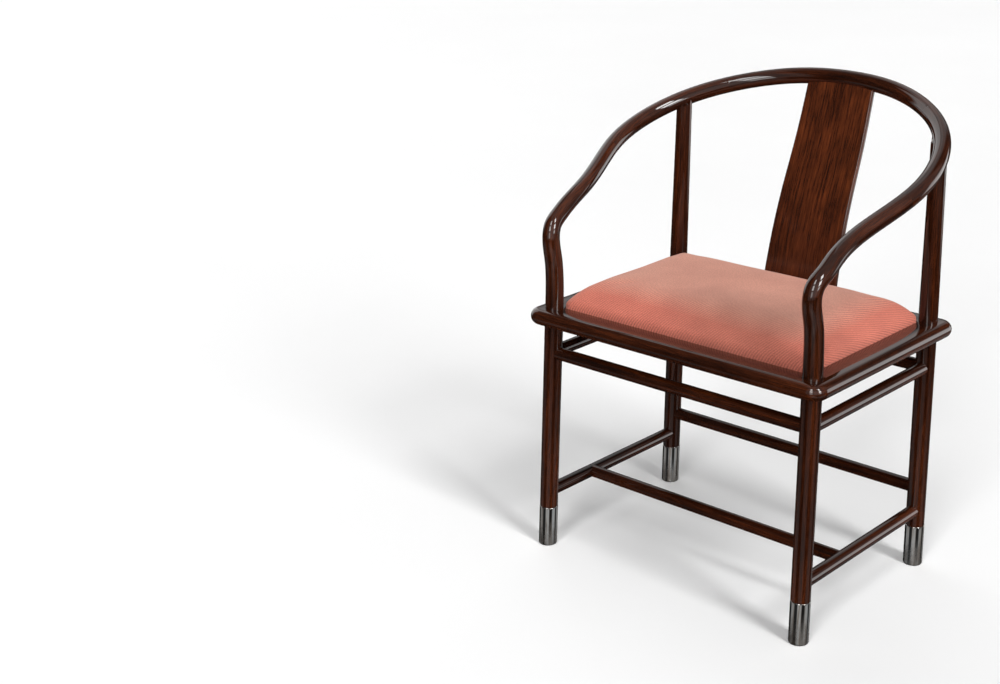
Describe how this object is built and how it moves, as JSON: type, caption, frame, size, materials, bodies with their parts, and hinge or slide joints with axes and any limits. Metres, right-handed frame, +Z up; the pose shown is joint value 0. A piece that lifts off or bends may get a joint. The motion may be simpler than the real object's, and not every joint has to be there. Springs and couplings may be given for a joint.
{
  "type": "horseshoe back armchair",
  "caption": "Round-rail horseshoe armchair with splayed legs, S-curved splat, metal sabots and a lift-out upholstered seat.",
  "frame": {"origin": "on the floor, under the middle of the chair's whole width and depth", "axes": "+Z up, the front of the chair faces -Y, +X to the right as seen from the front"},
  "size_m": [0.5878, 0.5008, 0.7844],
  "materials": {
    "lacquered_wood": "dark red-brown gloss lacquer",
    "splat_wood": "orange-brown polished grain",
    "bare_wood": "unfinished",
    "nickel": "polished nickel, scuffed low down",
    "steel": "zinc-plated",
    "foam": "upholstery foam",
    "seat_cloth": "coral twill weave",
    "dust_cloth": "black lining cloth"
  },
  "bodies": {
    "chair_frame": {"front_left_leg": "lacquered_wood", "front_right_leg": "lacquered_wood", "rear_left_leg": "lacquered_wood", "rear_right_leg": "lacquered_wood", "seat_frame_front": "lacquered_wood", "seat_frame_back": "lacquered_wood", "seat_frame_left": "lacquered_wood", "seat_frame_right": "lacquered_wood", "mitre_keys": "lacquered_wood", "upper_rail_front": "lacquered_wood", "upper_rail_back": "lacquered_wood", "upper_rail_left": "lacquered_wood", "upper_rail_right": "lacquered_wood", "side_stretcher_left": "lacquered_wood", "side_stretcher_right": "lacquered_wood", "back_stretcher": "lacquered_wood", "cross_stretcher": "lacquered_wood", "back_splat": "splat_wood", "crest_rail": "lacquered_wood", "left_back_bend": "lacquered_wood", "right_back_bend": "lacquered_wood", "left_arm": "lacquered_wood", "right_arm": "lacquered_wood", "rail_dowels": "bare_wood", "arm_dowels": "bare_wood", "front_left_sabot": "nickel", "front_right_sabot": "nickel", "rear_left_sabot": "nickel", "rear_right_sabot": "nickel", "sabot_screws": "steel"},
    "drop_in_seat": {"seat_board": "bare_wood", "seat_foam": "foam", "seat_cover": "seat_cloth", "dust_cover": "dust_cloth", "cover_staples": "steel"}
  },
  "joints": [
    {"name": "seat_lift", "type": "slide", "parent": "chair_frame", "child": "drop_in_seat", "axis": [0, 0, 1], "range_m": [0, 0.12]}
  ]
}
